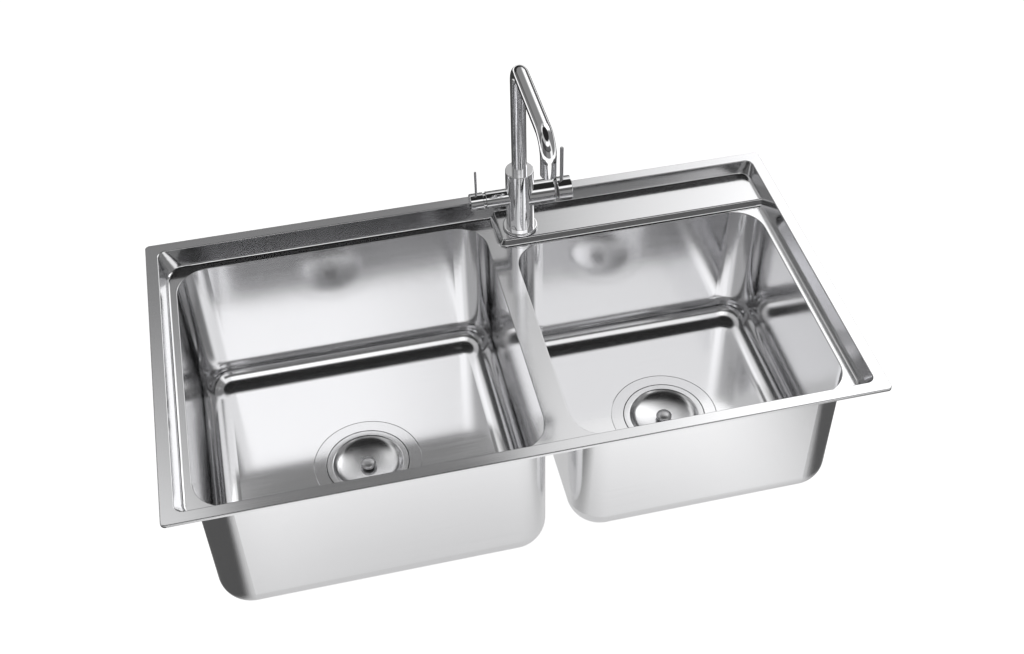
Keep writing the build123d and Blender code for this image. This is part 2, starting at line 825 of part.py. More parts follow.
with BuildPart() as shank_nut:
    with BuildSketch(Plane((tap_x, tap_y, washer_foot_z))) as nut_plan:
        RegularPolygon(shank_nut_flats / 2, 6, major_radius=False)
        Circle(shank_radius, mode=Mode.SUBTRACT)
    extrude(amount=-shank_nut_height)
finish(shank_nut, "tap_shank_nut")


# ================================================================ swivel spout
# One bent tube: up from the socket, level towards the front, and down at the nozzle.
spout_z = platform_z + spout_rise
spigot_foot = body_top - spigot_depth
nozzle_end = spout_z - spout_drop
with BuildPart() as spout_tube:
    with BuildLine() as spout_path:
        FilletPolyline(
            (tap_x, tap_y, spigot_foot),
            (tap_x, tap_y, spout_z),
            (tap_x, tap_y - spout_reach, spout_z),
            (tap_x, tap_y - spout_reach, nozzle_end),
            radius=(spout_bend, nozzle_bend),
        )
    with BuildSketch(Plane((tap_x, tap_y, spigot_foot))) as tube_section:
        Circle(spout_radius)
        Circle(spout_radius - spout_wall, mode=Mode.SUBTRACT)
    sweep(path=spout_path.wire())
    add(turned(
        tap_section, tap_axis,
        (spout_radius - spout_wall, spigot_foot),
        (spigot_foot_radius, spigot_foot),
        (spigot_foot_radius, spigot_foot + spigot_foot_height),
        (spout_radius - spout_wall, spigot_foot + spigot_foot_height),
    ))
finish(spout_tube, "spout_tube")
print("spout", spout_tube.part.volume, len(spout_tube.part.solids()))

# Gland that closes the socket around the tube and holds its foot down.
gland_foot = spigot_foot + spigot_foot_height + swivel_play
groove_places = (gland_foot + oring_margin, gland_foot + 2 * oring_margin)
with BuildPart() as spout_gland:
    add(turned(
        tap_section, tap_axis,
        (spout_radius + running, gland_foot),
        (socket_radius, gland_foot),
        (socket_radius, body_top),
        (spout_radius + running, body_top),
    ))
    for groove in groove_places:
        add(turned(
            tap_section, tap_axis,
            (spout_radius, groove - oring_section),
            (spout_radius + oring_section * 2, groove - oring_section),
            (spout_radius + oring_section * 2, groove + oring_section),
            (spout_radius, groove + oring_section),
        ), mode=Mode.SUBTRACT)
finish(spout_gland, "spout_gland")

with BuildPart() as spout_orings:
    for groove in groove_places:
        with BuildSketch(Plane(
            origin=(tap_x + spout_radius + running + oring_section, tap_y, groove),
            x_dir=(1, 0, 0), z_dir=(0, -1, 0),
        )) as ring_section:
            RegularPolygon(oring_section - clearance / 4, oring_sides)
        revolve(axis=tap_axis)
finish(spout_orings, "spout_orings")

# Aerator pressed into the nozzle, with a ring of water holes.
aerator_radius = spout_radius - spout_wall
with BuildPart() as aerator:
    with BuildSketch(Plane((tap_x, tap_y - spout_reach, nozzle_end))) as aerator_plan:
        Circle(aerator_radius)
        for ring, ring_radius in enumerate(aerator_ring_radii, 1):
            with PolarLocations(ring_radius, ring * aerator_ring_count):
                Circle(aerator_hole, mode=Mode.SUBTRACT)
    extrude(amount=aerator_height)
finish(aerator, "spout_aerator")


# ================================================================ filtered-water valve, left arm
valve_radius = filter_bore - clearance / 4
valve_end = -filter_arm_end + valve_inset
spindle_radius = filter_spindle_radius
with BuildPart() as filter_valve:
    add(turned(
        arm_section, arm_axis,
        (filter_bore_end, spindle_radius + running),
        (filter_bore_end, valve_radius),
        (valve_end, valve_radius),
        (valve_end, spindle_radius + running),
    ))
finish(filter_valve, "filter_valve")

filter_cap_start = -(filter_arm_end + filter_gap)
filter_cap_end = filter_cap_start - filter_cap_length
neck_start = -(filter_arm_end + lift_play)
spindle_end = filter_cap_start - spindle_grip
with BuildPart() as filter_spindle:
    add(turned(
        arm_section, arm_axis,
        (filter_bore_end - clearance * 5, 0),
        (filter_bore_end - clearance * 5, spindle_radius),
        (spindle_end, spindle_radius),
        (spindle_end, 0),
    ))
finish(filter_spindle, "filter_spindle")

filter_neck_radius = filter_arm_radius - groove_depth
with BuildPart() as filter_cap:
    add(turned(
        arm_section, arm_axis,
        (neck_start, spindle_radius),
        (neck_start, filter_neck_radius),
        (filter_cap_start, filter_neck_radius),
        (filter_cap_start, filter_arm_radius - edge_break),
        (filter_cap_start - edge_break, filter_arm_radius),
        (filter_cap_end, filter_arm_radius),
        (filter_cap_end, 0),
        (spindle_end, 0),
        (spindle_end, spindle_radius),
    ))
    rim = [edge for edge in filter_cap.edges().filter_by(GeomType.CIRCLE)
           if abs(edge.center().X - tap_x - filter_cap_end) < 0.001]
    fillet(rim, cap_rounding)
    with BuildSketch(Plane((
        tap_x + filter_cap_start - filter_cap_length / 2, tap_y, arm_z + filter_arm_radius
    ))) as filter_pin_hole:
        Circle(filter_pin_radius)
    extrude(amount=-filter_pin_grip, mode=Mode.SUBTRACT)
finish(filter_cap, "filter_cap")

with BuildPart() as filter_pin:
    with BuildSketch(Plane((
        tap_x + filter_cap_start - filter_cap_length / 2,
        tap_y,
        arm_z + filter_arm_radius - filter_pin_grip,
    ))) as filter_pin_plan:
        Circle(filter_pin_radius)
    extrude(amount=filter_pin_top - filter_arm_radius + filter_pin_grip)
    fillet(filter_pin.edges().group_by(Axis.Z)[-1], pin_rounding)
finish(filter_pin, "filter_pin")


# ================================================================ mixer, right arm
pivot_x = mixer_arm_end - mixer_pivot_depth
cap_start = mixer_arm_end + mixer_gap
cap_end = cap_start + mixer_cap_length
carrier_start = pivot_x - carrier_half
carrier_end = pivot_x + carrier_half
cartridge_end = carrier_start - lift_play

with BuildPart() as mixer_cartridge:
    add(turned(
        arm_section, arm_axis,
        (mixer_bore_end, 0),
        (mixer_bore_end, mixer_bore - clearance / 4),
        (cartridge_end, mixer_bore - clearance / 4),
        (cartridge_end, 0),
    ))
finish(mixer_cartridge, "mixer_cartridge")

# Retaining nut with a dome that fills the groove in front of the cap.
carrier_hole = carrier_radius + running
with BuildPart() as mixer_dome:
    with BuildSketch(Plane(
        origin=(tap_x + pivot_x, tap_y, arm_z), x_dir=(1, 0, 0), z_dir=(0, -1, 0)
    )) as dome_profile:
        with BuildLine() as dome_line:
            dome_foot = mixer_pivot_depth
            dome_edge = sqrt(dome_radius ** 2 - dome_foot ** 2)
            mouth = sqrt(dome_radius ** 2 - dome_mouth ** 2)
            middle = dome_radius / sqrt(2)
            arc = ThreePointArc(
                (dome_foot, dome_edge), (middle, middle), (mouth, dome_mouth)
            )
            inner = dome_radius - cap_wall
            inner_mouth = sqrt(inner ** 2 - dome_mouth ** 2)
            back = sqrt(inner ** 2 - carrier_hole ** 2)
            Line(arc @ 1, (inner_mouth, dome_mouth))
            hollow = ThreePointArc(
                (inner_mouth, dome_mouth),
                (
                    inner * cos(radians(dome_hollow_angle)),
                    inner * sin(radians(dome_hollow_angle)),
                ),
                (back, carrier_hole),
            )
            Polyline(
                (back, carrier_hole),
                (carrier_start - pivot_x, carrier_hole),
                (carrier_start - pivot_x, mixer_bore - clearance / 4),
                (dome_foot, mixer_bore - clearance / 4),
                (dome_foot, dome_edge),
            )
        make_face()
    revolve(axis=arm_axis)
finish(mixer_dome, "mixer_dome_nut")
print("dome", mixer_dome.part.volume, len(mixer_dome.part.solids()))

# Turning carrier of the lever, with a slot that the stem tilts in.
with BuildPart() as mixer_carrier:
    add(turned(
        arm_section, arm_axis,
        (carrier_start, 0),
        (carrier_start, carrier_radius),
        (carrier_end, carrier_radius),
        (carrier_end, 0),
    ))
    with BuildSketch(Plane(
        origin=(tap_x + pivot_x, tap_y, arm_z), x_dir=(1, 0, 0), z_dir=(0, -1, 0)
    )) as stem_slot:
        Circle(slot_half_height)
        with Locations((carrier_half / 2 + edge_break, 0)):
            Rectangle(carrier_half + 2 * edge_break, 2 * slot_half_height)
    extrude(amount=mixer_stem_radius + lift_play, both=True, mode=Mode.SUBTRACT)
    with BuildSketch(Plane(
        origin=(tap_x + pivot_x, tap_y, arm_z), x_dir=(1, 0, 0), z_dir=(0, -1, 0)
    )) as pivot_hole:
        Circle(pivot_pin_radius)
    extrude(amount=pivot_pin_half, both=True, mode=Mode.SUBTRACT)
finish(mixer_carrier, "mixer_carrier")

with BuildPart() as pivot_pin:
    with BuildSketch(Plane(
        origin=(tap_x + pivot_x, tap_y, arm_z), x_dir=(1, 0, 0), z_dir=(0, -1, 0)
    )) as pivot_section:
        Circle(pivot_pin_radius)
    extrude(amount=pivot_pin_half, both=True)
finish(pivot_pin, "mixer_pivot_pin")

hollow_radius = dome_radius + dome_play
hollow_end = pivot_x + hollow_radius
stem_end = hollow_end + stem_grip
with BuildPart() as mixer_stem:
    add(turned(
        arm_section, arm_axis,
        (pivot_x - stem_tail, 0),
        (pivot_x - stem_tail, mixer_stem_radius),
        (stem_end, mixer_stem_radius),
        (stem_end, 0),
    ))
    with BuildSketch(Plane(
        origin=(tap_x + pivot_x, tap_y, arm_z), x_dir=(1, 0, 0), z_dir=(0, -1, 0)
    )) as stem_hole:
        Circle(pivot_pin_radius + running)
    extrude(amount=mixer_stem_radius, both=True, mode=Mode.SUBTRACT)
finish(mixer_stem, "mixer_stem")

pin_x = tap_x + cap_start + mixer_pin_inset
cap_mouth = sqrt(hollow_radius ** 2 - (cap_start - pivot_x) ** 2)
hollow_floor = sqrt(hollow_radius ** 2 - mixer_stem_radius ** 2)
hollow_bend = (hollow_radius / sqrt(5) * 2, hollow_radius / sqrt(5))
with BuildPart() as mixer_cap:
    with BuildSketch(Plane(
        origin=(tap_x + pivot_x, tap_y, arm_z), x_dir=(1, 0, 0), z_dir=(0, -1, 0)
    )) as cap_profile:
        with BuildLine():
            ThreePointArc(
                (cap_start - pivot_x, cap_mouth),
                hollow_bend,
                (hollow_floor, mixer_stem_radius),
            )
            Polyline(
                (hollow_floor, mixer_stem_radius),
                (stem_end - pivot_x, mixer_stem_radius),
                (stem_end - pivot_x, 0),
                (cap_end - pivot_x, 0),
                (cap_end - pivot_x, mixer_arm_radius),
                (cap_start - pivot_x + edge_break, mixer_arm_radius),
                (cap_start - pivot_x, mixer_arm_radius - edge_break),
                (cap_start - pivot_x, cap_mouth),
            )
        make_face()
    revolve(axis=arm_axis)
    rim = [edge for edge in mixer_cap.edges().filter_by(GeomType.CIRCLE)
           if abs(edge.center().X - tap_x - cap_end) < 0.001]
    fillet(rim, cap_rounding)
    with BuildSketch(Plane((pin_x, tap_y, arm_z + mixer_arm_radius))) as mixer_pin_hole:
        Circle(mixer_pin_radius)
    extrude(amount=-mixer_pin_grip, mode=Mode.SUBTRACT)
finish(mixer_cap, "mixer_cap")

with BuildPart() as mixer_pin:
    with BuildSketch(Plane((pin_x, tap_y, arm_z + mixer_arm_radius - mixer_pin_grip))) as pin_plan:
        Circle(mixer_pin_radius)
    extrude(amount=mixer_pin_top - mixer_arm_radius + mixer_pin_grip)
    fillet(mixer_pin.edges().group_by(Axis.Z)[-1], pin_rounding)
finish(mixer_pin, "mixer_pin")
print("cap", mixer_cap.part.volume, len(mixer_cap.part.solids()))
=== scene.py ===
from math import degrees, radians

import bpy
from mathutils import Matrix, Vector


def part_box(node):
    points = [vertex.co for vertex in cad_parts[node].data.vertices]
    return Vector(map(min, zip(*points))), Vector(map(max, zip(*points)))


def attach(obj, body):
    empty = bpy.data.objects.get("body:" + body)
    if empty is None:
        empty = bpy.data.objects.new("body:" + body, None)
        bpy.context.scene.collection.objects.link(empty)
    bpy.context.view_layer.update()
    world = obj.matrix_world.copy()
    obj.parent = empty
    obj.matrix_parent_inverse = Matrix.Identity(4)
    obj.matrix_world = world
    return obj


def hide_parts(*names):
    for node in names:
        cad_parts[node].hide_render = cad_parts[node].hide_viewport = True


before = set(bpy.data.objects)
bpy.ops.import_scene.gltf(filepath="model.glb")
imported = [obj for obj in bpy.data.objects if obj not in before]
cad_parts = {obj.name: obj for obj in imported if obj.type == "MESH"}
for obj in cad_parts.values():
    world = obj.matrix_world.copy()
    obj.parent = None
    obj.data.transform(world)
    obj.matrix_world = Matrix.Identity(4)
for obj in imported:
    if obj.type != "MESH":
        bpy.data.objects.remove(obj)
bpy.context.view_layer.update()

scene = bpy.context.scene


# ---------------------------------------------------------------- studio and camera
# A pale kitchen floor at its real depth below the sink, two large soft lamps and a white
# room with black cards behind and above, which the bare metal shows as its dark bands.
floor_height = -0.9
floor_size = 14
floor_shade = 0.82
floor_glow_to_camera = 0.55
# painted shadow: seen in reflections, the floor's glow is painted dim in a soft disc under the
# sink, standing in for the sink's shadow, and brightens further out
under_sink = (0, 0.2, 0)
painted_shadow_glow, painted_shadow_radius = 0.10, 0.55
glow_far, far_radius = 0.62, 1.25
white_room = 1.0
room_light = 0.55
bpy.ops.mesh.primitive_plane_add(size=floor_size, location=(0, 0, floor_height))
floor = bpy.context.object
floor.name = "studio_floor"

floor_paint = bpy.data.materials.new("floor_paint")
floor_paint.use_nodes = True
nodes, links = floor_paint.node_tree.nodes, floor_paint.node_tree.links
nodes.clear()
paint_output = nodes.new("ShaderNodeOutputMaterial")
paint = nodes.new("ShaderNodeBsdfDiffuse")
paint.inputs["Color"].default_value = (floor_shade, floor_shade, floor_shade, 1)
glow = nodes.new("ShaderNodeEmission")
paint_and_glow = nodes.new("ShaderNodeAddShader")
path = nodes.new("ShaderNodeLightPath")
seen = nodes.new("ShaderNodeMath")
seen.operation = "MAXIMUM"
seen_through = nodes.new("ShaderNodeMath")
seen_through.operation = "MAXIMUM"
glow_level = nodes.new("ShaderNodeMath")
glow_level.operation = "MULTIPLY"
glow_level.inputs[1].default_value = floor_glow_to_camera
ground = nodes.new("ShaderNodeTexCoord")
under = nodes.new("ShaderNodeVectorMath")
under.operation = "DISTANCE"
under.inputs[1].default_value = under_sink
links.new(ground.outputs["Object"], under.inputs[0])
# painted shadow under the sink: the reflected glow fades from dim under the sink to bright away
# from it
painted_shadow_fade = nodes.new("ShaderNodeMapRange")
painted_shadow_fade.interpolation_type = "SMOOTHSTEP"
painted_shadow_fade.inputs["From Min"].default_value = painted_shadow_radius
painted_shadow_fade.inputs["From Max"].default_value = far_radius
painted_shadow_fade.inputs["To Min"].default_value = painted_shadow_glow
painted_shadow_fade.inputs["To Max"].default_value = glow_far
links.new(under.outputs["Value"], painted_shadow_fade.inputs["Value"])
shiny = nodes.new("ShaderNodeMath")
shiny.operation = "MULTIPLY"
links.new(path.outputs["Is Glossy Ray"], seen.inputs[0])
links.new(path.outputs["Is Transmission Ray"], seen.inputs[1])
links.new(seen.outputs[0], shiny.inputs[0])
links.new(painted_shadow_fade.outputs["Result"], shiny.inputs[1])
links.new(path.outputs["Is Camera Ray"], glow_level.inputs[0])
links.new(shiny.outputs[0], seen_through.inputs[0])
links.new(glow_level.outputs[0], seen_through.inputs[1])
links.new(seen_through.outputs[0], glow.inputs["Strength"])
links.new(paint.outputs[0], paint_and_glow.inputs[0])
links.new(glow.outputs[0], paint_and_glow.inputs[1])
links.new(paint_and_glow.outputs[0], paint_output.inputs["Surface"])
floor.data.materials.append(floor_paint)

room = bpy.data.worlds.new("white_room")
scene.world = room
room.use_nodes = True
nodes, links = room.node_tree.nodes, room.node_tree.links
nodes.clear()


def sum_up(operation, first, second, third=None):
    """A math node of the room; an input is a number or another node's output."""
    node = nodes.new("ShaderNodeMath")
    node.operation = operation
    for socket, value in zip(node.inputs, (first, second, third)):
        if value is None:
            continue
        if isinstance(value, (int, float)):
            socket.default_value = value
        else:
            links.new(value, socket)
    return node.outputs[0]


def within(angle, middle, half, soft):
    """1 inside the band middle - half to middle + half, in degrees, and 0 past its soft edge."""
    away = sum_up("ABSOLUTE", sum_up("SUBTRACT", angle, middle), 0.0)
    edge = nodes.new("ShaderNodeMapRange")
    edge.interpolation_type = "SMOOTHSTEP"
    edge.inputs["From Min"].default_value = half + soft
    edge.inputs["From Max"].default_value = half
    links.new(away, edge.inputs["Value"])
    return edge.outputs["Result"]


direction = nodes.new("ShaderNodeTexCoord")
parts_of = nodes.new("ShaderNodeSeparateXYZ")
links.new(direction.outputs["Generated"], parts_of.inputs[0])
round_room = sum_up("ARCTAN2", parts_of.outputs["X"], parts_of.outputs["Y"])
turn = sum_up("MULTIPLY", round_room, degrees(1))
rise = sum_up("MULTIPLY", sum_up("ARCSINE", parts_of.outputs["Z"], 0.0), degrees(1))
# each card: how black it is (below nought it's a light), its middle and half width to the
# right of straight back, its middle and half height above level, its soft edge, in degrees
black_cards = (
    (0.76, -34.0, 41.0, 12.0, 28.0, 14.0),
    (0.80, 2.0, 8.0, 53.0, 3.0, 4.0),
    (0.90, 14.0, 46.0, 0.0, 12.0, 8.0),
    (0.98, 0.0, 180.0, 90.0, 29.0, 8.0),
    (0.50, -105.0, 32.0, 18.0, 34.0, 14.0),
    (0.78, 96.0, 28.0, 18.0, 34.0, 14.0),
    (0.76, -147.0, 48.0, 6.0, 12.0, 6.0),
    (0.88, -151.0, 61.0, 28.0, 8.0, 5.0),
    (-0.30, 187.0, 10.0, 48.0, 9.0, 5.0),
    (-0.60, 47.0, 16.0, 46.0, 18.0, 12.0),
)
level = None
for black, across, half_width, up, half_height, soft in black_cards:
    away = sum_up("ABSOLUTE", sum_up("WRAP", sum_up("SUBTRACT", turn, across), 180.0, -180.0), 0.0)
    covered = sum_up(
        "MULTIPLY", within(away, 0.0, half_width, soft), within(rise, up, half_height, soft)
    )
    left = sum_up("SUBTRACT", 1.0, sum_up("MULTIPLY", covered, black))
    level = left if level is None else sum_up("MULTIPLY", level, left)
path = nodes.new("ShaderNodeLightPath")
mirrored = sum_up("MAXIMUM", path.outputs["Is Glossy Ray"], path.outputs["Is Transmission Ray"])
room_level = sum_up("MULTIPLY", level, white_room)
seen = sum_up("MULTIPLY_ADD", mirrored, room_level, path.outputs["Is Camera Ray"])
unseen = sum_up("SUBTRACT", 1.0, sum_up("MAXIMUM", mirrored, path.outputs["Is Camera Ray"]))
background = nodes.new("ShaderNodeBackground")
background.inputs["Color"].default_value = (1, 1, 1, 1)
links.new(sum_up("MULTIPLY_ADD", unseen, room_light, seen), background.inputs["Strength"])
room_output = nodes.new("ShaderNodeOutputWorld")
links.new(background.outputs[0], room_output.inputs["Surface"])

# Three dark mats on the floor, left and right of the sink and behind it, which give the outer
# corners of the bowls and the chrome of the tap their dark edges; the camera doesn't see them.
# Each has its name, middle, width and depth in metres, shade and how wide its soft edge is.
for mat_name, place, width, depth, shade, soft in (
    ("mat_left", (-1.53, -0.1), 2.4, 3.4, 0.13, 0.42),
    ("mat_right", (1.68, -0.1), 2.4, 3.4, 0.14, 0.50),
    ("mat_behind", (0.50, 2.30), 4.4, 2.4, 0.05, 0.12),
):
    mat_cloth = bpy.data.materials.new(mat_name + "_cloth")
    mat_cloth.use_nodes = True
    nodes, links = mat_cloth.node_tree.nodes, mat_cloth.node_tree.links
    cloth = nodes["Principled BSDF"]
    cloth.inputs["Base Color"].default_value = (shade, shade, shade, 1)
    cloth.inputs["Roughness"].default_value = 1.0
    mat_fade_coords = nodes.new("ShaderNodeTexCoord")
    across_mat = nodes.new("ShaderNodeSeparateXYZ")
    links.new(mat_fade_coords.outputs["Object"], across_mat.inputs[0])
    # each mat fades to transparent across its soft edge, so the dark reflection it gives in the
    # bowls and the tap has soft edges
    faded = sum_up(
        "MULTIPLY",
        within(across_mat.outputs["X"], 0.0, 0.5 - soft / width, soft / width),
        within(across_mat.outputs["Y"], 0.0, 0.5 - soft / depth, soft / depth),
    )
    bare_floor = nodes.new("ShaderNodeBsdfTransparent")
    mat_soft_edge = nodes.new("ShaderNodeMixShader")
    links.new(faded, mat_soft_edge.inputs[0])
    links.new(bare_floor.outputs[0], mat_soft_edge.inputs[1])
    links.new(cloth.outputs[0], mat_soft_edge.inputs[2])
    links.new(mat_soft_edge.outputs[0], nodes["Material Output"].inputs["Surface"])
    bpy.ops.mesh.primitive_plane_add(size=1, location=(*place, floor_height + 0.01 + shade / 100))
    dark_mat = bpy.context.object
    dark_mat.name = mat_name
    dark_mat.scale = (width, depth, 1)
    dark_mat.visible_camera = False
    dark_mat.visible_shadow = False
    dark_mat.visible_diffuse = False
    dark_mat.data.materials.append(mat_cloth)

# lamps: name, place, size and radiant power in watts
for lamp_name, place, size, watts in (
    ("front_lamp", (-0.4, -2.0, 2.2), 2.0, 19.0),
    ("back_right_lamp", (1.5, 2.2, 2.4), 1.6, 12.0),
):
    bpy.ops.object.light_add(type="AREA", location=place)
    lamp = bpy.context.object
    lamp.name = lamp_name
    lamp.data.size = size
    lamp.data.energy = watts
    lamp.visible_glossy = False
    lamp.rotation_euler = (Vector((0, 0.2, 0)) - lamp.location).to_track_quat("-Z", "Y").to_euler()

bpy.ops.object.camera_add(
    location=(-0.219825, -0.909033, 1.131341),
    rotation=(radians(44.326825), radians(0.091397), radians(-13.642370)),
)
camera = bpy.context.object
camera.name = "camera"
camera.data.lens = 47.0436
camera.data.sensor_width = 36
camera.data.shift_x = -0.028409
camera.data.shift_y = 0.013127
scene.camera = camera
scene.view_settings.view_transform = "Standard"


# ---------------------------------------------------------------- brushed steel of deck and bowls
# The deck and the bowls are pressed from stainless sheet and brushed with an abrasive belt,
# which leaves fine parallel lines and a soft, slightly uneven shine.
def steel(name, colour, roughness, along, length, line_width, depth, spread):
    """Stainless steel brushed along one axis: a name, its colour and roughness, the direction
    of the lines, their length and width in metres, their depth and the roughness' spread."""
    finish = bpy.data.materials.new(name)
    finish.use_nodes = True
    tree = finish.node_tree
    shader = tree.nodes["Principled BSDF"]
    shader.inputs["Metallic"].default_value = 1.0
    place = tree.nodes.new("ShaderNodeTexCoord")
    stretch = tree.nodes.new("ShaderNodeMapping")
    stretch.inputs["Scale"].default_value = [
        1 / length if axis == along else 1 / line_width for axis in "XYZ"
    ]
    tree.links.new(place.outputs["Object"], stretch.inputs["Vector"])
    lines = tree.nodes.new("ShaderNodeTexNoise")
    lines.inputs["Scale"].default_value = 1.0
    lines.inputs["Detail"].default_value = 3.0
    tree.links.new(stretch.outputs[0], lines.inputs["Vector"])
    clouds = tree.nodes.new("ShaderNodeTexNoise")
    clouds.inputs["Scale"].default_value = 9.0
    clouds.inputs["Detail"].default_value = 2.0
    tree.links.new(place.outputs["Object"], clouds.inputs["Vector"])
    rough = tree.nodes.new("ShaderNodeMapRange")
    rough.inputs["From Min"].default_value = 0.3
    rough.inputs["From Max"].default_value = 0.7
    rough.inputs["To Min"].default_value = roughness - spread
    rough.inputs["To Max"].default_value = roughness + spread
    tree.links.new(lines.outputs[0], rough.inputs["Value"])
    uneven = tree.nodes.new("ShaderNodeMath")
    uneven.operation = "MULTIPLY_ADD"
    uneven.inputs[1].default_value = 0.02
    tree.links.new(clouds.outputs[0], uneven.inputs[0])
    tree.links.new(rough.outputs[0], uneven.inputs[2])
    tree.links.new(uneven.outputs[0], shader.inputs["Roughness"])
    shade = tree.nodes.new("ShaderNodeMix")
    shade.data_type = "RGBA"
    shade.inputs["A"].default_value = [value * 0.97 for value in colour] + [1]
    shade.inputs["B"].default_value = [min(1, value * 1.03) for value in colour] + [1]
    tree.links.new(lines.outputs[0], shade.inputs["Factor"])
    tree.links.new(shade.outputs["Result"], shader.inputs["Base Color"])
    relief = tree.nodes.new("ShaderNodeBump")
    relief.inputs["Strength"].default_value = depth
    relief.inputs["Distance"].default_value = 0.0002
    tree.links.new(lines.outputs[0], relief.inputs["Height"])
    tree.links.new(relief.outputs[0], shader.inputs["Normal"])
    return finish


def coat(node, finish):
    """Gives a CAD node its finish."""
    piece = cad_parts[node]
    piece.data.materials.clear()
    piece.data.materials.append(finish)


deck_steel = steel("deck_steel", (0.78, 0.78, 0.79), 0.12, "X", 0.14, 0.0012, 0.0004, 0.015)
bowl_steel = steel("bowl_steel", (0.87, 0.87, 0.88), 0.12, "X", 0.14, 0.0012, 0.0010, 0.02)
coat("deck_frame", deck_steel)
coat("left_bowl", bowl_steel)
coat("right_bowl", bowl_steel)


# ---------------------------------------------------------------- waste fittings
# Each bowl's waste has a wide flush flange of brushed steel, with a polished strainer that lifts
# out of it by its small knob.
def polished(name, colour, roughness, wander):
    """Bright plated or polished metal with a slight orange-peel: colour, roughness, waviness."""
    finish = bpy.data.materials.new(name)
    finish.use_nodes = True
    tree = finish.node_tree
    shader = tree.nodes["Principled BSDF"]
    shader.inputs["Base Color"].default_value = (*colour, 1)
    shader.inputs["Metallic"].default_value = 1.0
    place = tree.nodes.new("ShaderNodeTexCoord")
    smears = tree.nodes.new("ShaderNodeTexNoise")
    smears.inputs["Scale"].default_value = 60.0
    smears.inputs["Detail"].default_value = 4.0
    tree.links.new(place.outputs["Object"], smears.inputs["Vector"])
    rough = tree.nodes.new("ShaderNodeMapRange")
    rough.inputs["To Min"].default_value = roughness
    rough.inputs["To Max"].default_value = roughness * 2.0
    tree.links.new(smears.outputs[0], rough.inputs["Value"])
    tree.links.new(rough.outputs[0], shader.inputs["Roughness"])
    relief = tree.nodes.new("ShaderNodeBump")
    relief.inputs["Strength"].default_value = wander
    relief.inputs["Distance"].default_value = 0.0005
    tree.links.new(smears.outputs[0], relief.inputs["Height"])
    tree.links.new(relief.outputs[0], shader.inputs["Normal"])
    return finish


drain_steel = steel("drain_steel", (0.84, 0.84, 0.85), 0.13, "X", 0.03, 0.0008, 0.004, 0.02)
tray_steel = polished("tray_steel", (0.86, 0.86, 0.87), 0.13, 0.02)
knob_chrome = polished("knob_chrome", (0.84, 0.84, 0.85), 0.26, 0.01)
stem_steel = polished("stem_steel", (0.60, 0.60, 0.61), 0.12, 0.02)
for side in ("left", "right"):
    coat(side + "_drain_body", drain_steel)
    coat(side + "_strainer_tray", tray_steel)
    coat(side + "_strainer_cage", tray_steel)
    coat(side + "_strainer_knob", knob_chrome)
    coat(side + "_strainer_stem", stem_steel)


# Dish of each lift-out strainer: a flat rim, a rolled lip and a shallow bowl, drawn
# ring by ring inwards from a circle, thickened downwards, and copied to the other bowl.
knob_low, knob_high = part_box("left_strainer_knob")
knob_x, knob_y = (knob_low[0] + knob_high[0]) / 2, (knob_low[1] + knob_high[1]) / 2
tray_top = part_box("left_strainer_tray")[1][2]
dish_rim_radius = 0.053
dish_wall = 0.0008
bpy.ops.mesh.primitive_circle_add(
    vertices=128, radius=dish_rim_radius, location=(knob_x, knob_y, tray_top)
)
left_dish = bpy.context.object
left_dish.name = "left_dish"
bpy.ops.object.mode_set(mode="EDIT")
bpy.ops.mesh.select_all(action="SELECT")
# radius of each ring and its depth below the rim
ring, depth = dish_rim_radius, 0.0
for next_ring, next_depth in (
    (0.0463, 0.0), (0.0457, 0.00006), (0.0452, 0.00026), (0.0447, 0.0006), (0.0436, 0.0014),
    (0.0424, 0.0022), (0.0410, 0.0030), (0.0395, 0.0037), (0.0378, 0.0043), (0.0358, 0.0048),
    (0.0330, 0.0053), (0.0290, 0.0058), (0.0230, 0.0064), (0.0150, 0.0070), (0.0040, 0.0074),
):
    bpy.ops.mesh.extrude_region_move(TRANSFORM_OT_translate={"value": (0, 0, depth - next_depth)})
    bpy.ops.transform.resize(value=(next_ring / ring, next_ring / ring, 1))
    ring, depth = next_ring, next_depth
bpy.ops.mesh.edge_face_add()
bpy.ops.mesh.select_all(action="SELECT")
bpy.ops.mesh.normals_make_consistent(inside=False)
bpy.ops.object.mode_set(mode="OBJECT")
if left_dish.data.polygons[len(left_dish.data.polygons) // 2].normal.z < 0:
    left_dish.data.flip_normals()
bpy.ops.object.transform_apply(location=True, rotation=True, scale=True)
sheet = left_dish.modifiers.new("sheet", "SOLIDIFY")
sheet.thickness = dish_wall
sheet.offset = -1
bpy.ops.object.modifier_apply(modifier="sheet")
bpy.ops.object.shade_smooth_by_angle(angle=radians(40))
left_dish.data.materials.append(tray_steel)
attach(left_dish, "left_strainer")
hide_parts("left_strainer_tray")

# Knob of each strainer, by which it is lifted out: a round button of chromed metal with a rounded
# foot and a domed crown, drawn ring by ring upwards, smoothed, and copied with the dish.
foot_radius = 0.0032
bpy.ops.mesh.primitive_circle_add(
    vertices=64, radius=foot_radius, location=(knob_x, knob_y, knob_low[2])
)
left_button = bpy.context.object
left_button.name = "left_button"
bpy.ops.object.mode_set(mode="EDIT")
bpy.ops.mesh.select_all(action="SELECT")
